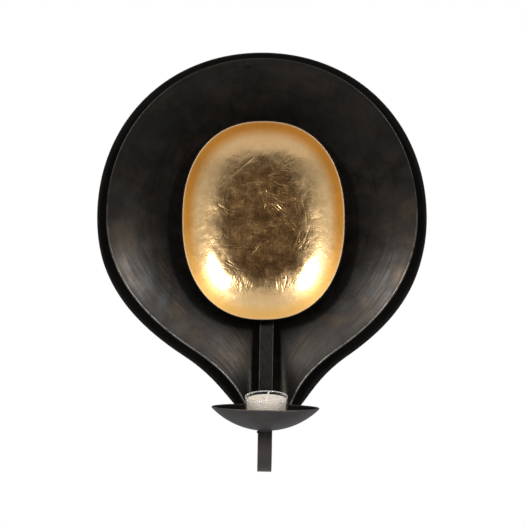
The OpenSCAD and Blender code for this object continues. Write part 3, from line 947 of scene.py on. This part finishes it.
def bronzed():
    """Dark patina in soft clouds, brushed round the rim, with a bare worn edge that a painted highlight
    makes brighter low down, and painted shade towards the neck's foot.
    """
    g = Graph("bronzed_steel")
    slow = g.noise(17, 5, 0.62, distort=0.8)
    cloud = g.noise(46, 5, 0.6, distort=0.4)
    streak = along_rim(g, 0.05, 0.003)
    fine = along_rim(g, 0.012, 0.0006)
    tone = g.ramp(slow, [(0.28, (0.0155, 0.0132, 0.0113)), (0.5, (0.0245, 0.021, 0.0182)),
                         (0.74, (0.042, 0.0355, 0.0298))])
    tone = g.mix(g.span(cloud, 0.0, 0.5, 0.5, 0.75), tone, (0.049, 0.0415, 0.0345))
    patina = g.noise(26, 4, 0.6, distort=1.2)
    tone = g.mix(g.span(patina, 0.0, 0.5, 0.52, 0.66), tone, (0.026, 0.0275, 0.029))
    tone = g.mix(g.span(patina, 0.5, 0.0, 0.34, 0.48), tone, (0.046, 0.034, 0.022))
    tone = g.mix(g.span(streak, 0.0, 0.5, 0.5, 0.75), tone, (0.015, 0.013, 0.011))
    neck_shade_distance = g.add("VectorMath", {0: g.where, 1: NECK_SHADE_CENTRE}, "Value", operation="DISTANCE")
    # painted shade: the plate's colour is darkened towards the neck's foot
    tone = g.mix(g.span(neck_shade_distance, 0.62, 0.0, 0.035, 0.075), tone, (0.005, 0.0043, 0.0037))
    # worn bare edge, plus a painted highlight: the edge is made brighter low down, where the lamps from
    # above would catch it
    wear_and_painted_highlight = g.times(worn_edge(g, 0.25, 0.8), g.span(lower_down(g, -0.03, -0.14), 0.12, 1.0))
    colour = g.mix(wear_and_painted_highlight, tone, (0.165, 0.154, 0.143))
    mottle = g.plus(g.times(streak, 0.5), g.times(cloud, 0.5))
    rough = g.vary(mottle, 0.26, 0.42)
    lie = g.bump(streak, 0.1, 0.001, g.bump(fine, 0.1, 0.0003))
    return g.finish(Base_Color=colour, Metallic=0.95, Roughness=rough, Normal=lie)


def black_paint():
    """Matt black paint with a fine grain, rubbed thin at the edges."""
    g = Graph("black_steel")
    slow = g.noise(22, 5, 0.6)
    grain = g.noise(900, 4, 0.6)
    tone = g.two_tone(slow, (0.0026, 0.0022, 0.0018), (0.0055, 0.0047, 0.0038))
    tone = g.mix(g.span(grain, 0, 0.5, 0.55, 0.75), tone, (0.014, 0.012, 0.0095))
    colour = g.mix(g.times(worn_edge(g, 0.35, 0.95), 0.35), tone, (0.05, 0.043, 0.036))
    rough = g.vary(g.noise(70, 4), 0.45, 0.65)
    return g.finish(Base_Color=colour, Metallic=0.3, Roughness=rough, Specular_IOR_Level=0.12,
                    Normal=g.bump(grain, 0.18, 0.0003))


def gold():
    """Gold leaf: pale patches with dark specks and a woven scuff, with painted shade towards its top, a
    redder painted reflection on the flat middle, and a deep orange painted reflection up the wall that is
    darker at the top and yellower low down.
    """
    g = Graph("gold_leaf_finish")
    wall = g.weight("wall")
    patches = g.cells(17, "F1", out="Color", jitter=0.9)
    patch = g.add("SeparateColor", {0: patches}, out=0)
    across = g.noise(1, 5, 0.65, g.stretched((60, 60, 1500)))
    down = g.noise(1, 5, 0.65, g.stretched((1500, 60, 60)))
    weave = g.plus(g.times(across, 0.5), g.times(down, 0.5))
    wrinkle = g.noise(120, 6, 0.66, distort=0.8)
    slow = g.noise(20, 4, 0.6, distort=0.5)
    tone = g.ramp(slow, [(0.28, (0.86, 0.56, 0.26)), (0.5, (0.92, 0.62, 0.30)),
                         (0.75, (0.96, 0.68, 0.36))])
    tone = g.mix(g.span(patch, 0.0, 0.3), tone, (0.96, 0.66, 0.33))
    speck = g.span(g.noise(620, 4, 0.6), 0, 0.55, 0.62, 0.72)
    tone = g.mix(g.times(speck, g.span(wall, 0.6, 0.0)), tone, (0.35, 0.19, 0.08))
    # painted shade: the leaf's colour is darkened towards its top
    tone = g.mix(g.span(lower_down(g, 0.014, -0.03), 0.27, 0.0), tone, (0.36, 0.11, 0.03))
    # painted reflection: the flat middle is tinted redder, standing in for its reflection of the dark
    # side behind the camera
    tone = g.mix(g.times(g.weight("level"), 0.6), tone, (0.80, 0.42, 0.145))
    # painted reflection: the wall is coloured deep orange for the light it bounces off the dish's far
    # wall, darker at the top and yellower low down
    upper = g.mix(lower_down(g, 0.02, -0.03), (0.62, 0.255, 0.042), (0.75, 0.325, 0.052))
    rim_reflection_tone = g.mix(lower_down(g, -0.06, -0.13), upper, (0.95, 0.56, 0.17))
    tone = g.mix(g.span(wall, 0.0, 1.0, 0.28, 0.82), tone, rim_reflection_tone)
    colour = g.mix(g.weight("edge"), tone, (0.80, 0.58, 0.34))
    mottle = g.plus(g.times(wrinkle, 0.6), g.times(slow, 0.4))
    rough = g.vary(g.plus(mottle, g.span(weave, -0.08, 0.08, 0.35, 0.65)), 0.14, 0.33)
    rough = g.plus(rough, g.span(wall, 0.0, 0.13))
    rough = g.plus(rough, g.span(g.weight("edge"), 0.0, 0.2))
    lie = g.bump(weave, 0.09, 0.0002)
    lie = g.bump(g.times(wrinkle, g.span(wall, 1.0, 0.25)), 0.3, 0.0006, lie)
    return g.finish(Base_Color=colour, Metallic=1.0, Roughness=rough, Normal=lie)


def drawn_steel():
    """The bar's dark patina with lengthways draw marks, with painted shade on its upper run and painted
    light on the hook; its heights are from the stud.
    """
    g = Graph("arm_steel")
    streak = g.noise(1, 6, 0.65, g.stretched((900, 900, 18)))
    slow = g.noise(45, 4, 0.6)
    tone = g.two_tone(slow, (0.026, 0.0222, 0.0205), (0.044, 0.038, 0.0355))
    tone = g.mix(g.span(streak, 0, 0.6, 0.4, 0.7), tone, (0.085, 0.074, 0.070))
    # painted shade: the bar's upper run is darkened
    tone = g.mix(g.span(lower_down(g, -0.15, -0.19), 0.62, 0.0), tone, (0.004, 0.0034, 0.0031))
    # painted light: the hook's leg is lightened
    tone = g.mix(g.span(lower_down(g, -0.181, -0.195), 0.0, 0.42), tone, (0.125, 0.108, 0.10))
    colour = g.mix(g.times(worn_edge(g, 0.35, 1.0), 0.45), tone, (0.12, 0.105, 0.10))
    rough = g.vary(streak, 0.36, 0.55)
    return g.finish(Base_Color=colour, Metallic=0.9, Roughness=rough, Normal=g.bump(streak, 0.3, 0.0004))


def spun_steel():
    """The bowl's brown patina with turning marks round its axis, dark inside."""
    g = Graph("bowl_steel")
    z = g.add("SeparateXYZ", {0: g.where}, out=2)
    ring = g.add("CombineXYZ", {0: 0.0, 1: 0.0, 2: z})
    turning = g.noise(1900, 3, 0.6, ring)
    slow = g.noise(38, 5, 0.6, distort=0.4)
    grain = g.noise(700, 4, 0.6)
    tone = g.two_tone(slow, (0.056, 0.050, 0.0498), (0.092, 0.083, 0.083))
    tone = g.mix(g.span(grain, 0, 0.45, 0.5, 0.75), tone, (0.11, 0.10, 0.099))
    tone = g.mix(g.times(g.weight("inside"), 0.93), tone, (0.008, 0.0065, 0.0055))
    colour = g.mix(g.times(worn_edge(g, 0.35, 1.0), 0.5), tone, (0.22, 0.195, 0.185))
    rough = g.vary(grain, 0.42, 0.6)
    return g.finish(Base_Color=colour, Metallic=0.85, Roughness=rough,
                    Normal=g.bump(grain, 0.15, 0.0003, g.bump(turning, 0.12, 0.0003)))


def weld_steel():
    """Rough dark steel of the weld and the rivets."""
    g = Graph("weld_steel")
    slow = g.noise(300, 4, 0.6)
    tone = g.two_tone(slow, (0.045, 0.039, 0.035), (0.11, 0.097, 0.088))
    return g.finish(Base_Color=tone, Metallic=0.85, Roughness=g.vary(slow, 0.4, 0.65),
                    Normal=g.bump(g.noise(900, 3), 0.35, 0.0003))


def zinc():
    """Zinc plating with its spangle."""
    g = Graph("zinc_plate")
    slow = g.noise(90, 4, 0.6)
    grain = g.cells(420, "F1", out="Color")
    spangle = g.add("SeparateColor", {0: grain}, out=0)
    tone = g.two_tone(slow, (0.44, 0.45, 0.45), (0.62, 0.62, 0.60))
    tone = g.mix(g.span(spangle, 0, 0.35), tone, (0.72, 0.72, 0.70))
    return g.finish(Base_Color=tone, Metallic=0.95, Roughness=g.span(spangle, 0.3, 0.48),
                    Normal=g.bump(g.noise(1500, 3), 0.15, 0.0002))


def rubber():
    """Matt black rubber."""
    g = Graph("pad_rubber")
    grain = g.noise(1400, 3, 0.6)
    tone = g.two_tone(g.noise(120, 3), (0.022, 0.022, 0.022), (0.04, 0.04, 0.039))
    return g.finish(Base_Color=tone, Roughness=g.vary(grain, 0.6, 0.85),
                    Normal=g.bump(grain, 0.3, 0.0003))


def clear_plastic():
    """Clear thin plastic, made less clear and whiter at its rim as a painted highlight."""
    g = Graph("clear_cup_plastic")
    haze = g.noise(240, 4, 0.6)
    tone = g.two_tone(haze, (0.93, 0.94, 0.95), (0.99, 0.99, 1.0))
    rim = g.weight("edge")
    # painted highlight: the rim is made whiter and less see-through
    return g.finish(Base_Color=tone, Roughness=g.span(haze, 0.02, 0.09, 0.35, 0.7), IOR=1.49,
                    Transmission_Weight=g.span(rim, 1.0, 0.55), Alpha=g.span(rim, 0.25, 0.8),
                    Normal=g.bump(g.noise(70, 2), 0.02, 0.001))


def paraffin():
    """Wax that light sinks into."""
    g = Graph("wax_paraffin")
    cloud = g.noise(120, 5, 0.6, distort=0.4)
    tone = g.two_tone(cloud, (0.89, 0.79, 0.68), (0.92, 0.85, 0.76))
    return g.finish(Base_Color=tone, Roughness=g.vary(cloud, 0.38, 0.55), IOR=1.44,
                    Subsurface_Weight=0.45, Subsurface_Radius=(0.9, 0.7, 0.45), Subsurface_Scale=0.004,
                    Normal=g.bump(g.noise(260, 4), 0.12, 0.0005))


def cotton():
    """Waxed cotton, plied."""
    g = Graph("wick_cotton")
    ply = g.noise(1, 3, 0.6, g.stretched((1500, 1500, 2600)))
    tone = g.two_tone(ply, (0.80, 0.77, 0.70), (0.95, 0.93, 0.88))
    return g.finish(Base_Color=tone, Roughness=g.vary(ply, 0.6, 0.85),
                    Normal=g.bump(ply, 0.5, 0.0003), Subsurface_Weight=0.2,
                    Subsurface_Radius=(1, 0.8, 0.6), Subsurface_Scale=0.001)


def tin():
    """Thin bright sheet, brushed."""
    g = Graph("wick_foot_tin")
    brushed = g.noise(1, 4, 0.6, g.stretched((1600, 200, 1600)))
    tone = g.two_tone(brushed, (0.60, 0.60, 0.59), (0.76, 0.76, 0.74))
    return g.finish(Base_Color=tone, Metallic=1.0, Roughness=g.vary(brushed, 0.25, 0.4),
                    Normal=g.bump(brushed, 0.2, 0.0002))


# ---- assembly

black, bronze, leaf, bar, spun, weld = (black_paint(), bronzed(), gold(), drawn_steel(), spun_steel(),
                                        weld_steel())
plated, pad, clear, wax, thread, foil = zinc(), rubber(), clear_plastic(), paraffin(), cotton(), tin()

PIECES = [
    (make_back_shell, "back_shell", "black_steel", black),
    (make_front_dish, "front_dish", "bronzed_steel", bronze),
    (make_posts, "rim_posts", "bronzed_steel", bronze),
    (make_hanger_rivets, "hanger_rivets", "zinc", plated),
    (make_pads, "wall_pads", "pad", pad),
    (make_arm, "support_arm", "arm_steel", bar),
    (make_arm_rivets, "arm_rivets", "raw_steel", weld),
    (make_reflector, "reflector_dish", "black_steel", black),
    (make_gold_leaf, "gold_leaf", "gold", leaf),
    (make_stud, "reflector_stud", "zinc", plated),
    (make_washer, "stud_washer", "zinc", plated),
    (make_nut, "stud_nut", "zinc", plated),
    (make_bowl, "candle_bowl", "bowl_steel", spun),
    (make_weld, "bowl_weld", "raw_steel", weld),
    (make_cup, "tealight_cup", "clear_cup", clear),
    (make_wax, "candle_wax", "wax", wax),
    (make_wick, "wick", "cotton", thread),
    (make_sustainer, "wick_sustainer", "tin", foil),
]

bodies = frame["record"]["behaviour"]["bodies"]
body_of = {node: body for body, nodes in bodies.items() for node in nodes}

for make, node, slot, material in PIECES:
    piece = make()
    piece.data.materials.append(material)
    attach(piece, body_of[node])
    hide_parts(node)

hanger = frame["nodes"]["hanger_plate"]
hanger.data.materials.clear()
hanger.data.materials.append(plated)


# ---- stage, lights and camera

AIM = Vector((0.0005, -0.03, (LOBE_Z - 40.9) * MM))
CAMERA_GAP = 1.817
SENSOR = 36
LENS = 134.4
FLOOR_R = 1600
FLOOR_Z = -750
KEY_GAP = 1.65
KEY_SIDE = math.radians(33.2)
KEY_UP = math.radians(22.2)
KEY_SIZE = (0.22, 0.32)
KEY_POWER = 9.5
# The studio's tones as the object's metal sees them: low down, high up, and behind the camera
LOW_SIDE = (0.27, 0.27, 0.27)
HIGH_SIDE = (0.68, 0.68, 0.68)
DARK_SIDE = (0.033, 0.023, 0.0165)


def add_camera():
    """A level camera straight in front, as in the photograph."""
    data = bpy.data.cameras.new("camera")
    data.sensor_width = SENSOR
    data.lens = LENS
    camera = bpy.data.objects.new("camera", data)
    camera.location = (AIM.x, -CAMERA_GAP, AIM.z)
    camera.rotation_euler = (math.radians(90), 0, 0)
    bpy.context.scene.collection.objects.link(camera)
    bpy.context.scene.camera = camera


def add_floor():
    """A plain pale disc, well below the object."""
    ring = [(FLOOR_R * math.cos(a), FLOOR_R * math.sin(a), FLOOR_Z) for a in circle(96)]
    floor = place("floor", ring, [tuple(range(len(ring)))], smooth=False)
    g = Graph("floor_pale")
    tone = g.two_tone(g.noise(3, 3), (0.64, 0.64, 0.64), (0.68, 0.68, 0.675))
    floor.data.materials.append(g.finish(Base_Color=tone, Roughness=0.8))


def soft_light(name, side):
    """One of the two soft lamps, up and to the left (-1) or right (1) of the camera."""
    toward = Vector((side * math.sin(KEY_SIDE) * math.cos(KEY_UP),
                     -math.cos(KEY_SIDE) * math.cos(KEY_UP), math.sin(KEY_UP)))
    data = bpy.data.lights.new(name, "AREA")
    data.shape = "RECTANGLE"
    data.size, data.size_y = KEY_SIZE
    data.energy = KEY_POWER
    lamp = bpy.data.objects.new(name, data)
    lamp.location = AIM + toward * KEY_GAP
    lamp.rotation_euler = (AIM - lamp.location).to_track_quat("-Z", "Y").to_euler()
    bpy.context.scene.collection.objects.link(lamp)


def light_studio():
    """A pale studio all round, with its dark side behind the camera; the backdrop is white."""
    world = bpy.data.worlds.new("studio")
    g = Nodes(world)
    ray = g.add("TexCoord", out="Generated")
    ahead = g.span(g.add("SeparateXYZ", {0: ray}, out=1), 0.0, 1.0, -0.98, -0.74)
    upward = g.span(g.add("SeparateXYZ", {0: ray}, out=2), 0.0, 1.0, -0.75, 0.6)
    sides = g.mix(ahead, DARK_SIDE, g.mix(upward, LOW_SIDE, HIGH_SIDE))
    studio = g.add("Background", {0: sides, 1: 1.0})
    backdrop = g.add("Background", {0: (1, 1, 1, 1), 1: 1.0})
    seen = g.add("LightPath", out="Is Camera Ray")
    g.add("OutputWorld", {0: g.add("MixShader", {0: seen, 1: studio, 2: backdrop})})
    bpy.context.scene.world = world


add_camera()
add_floor()
soft_light("key_left", -1)
soft_light("key_right", 1)
light_studio()
bpy.context.scene.view_settings.view_transform = "Standard"
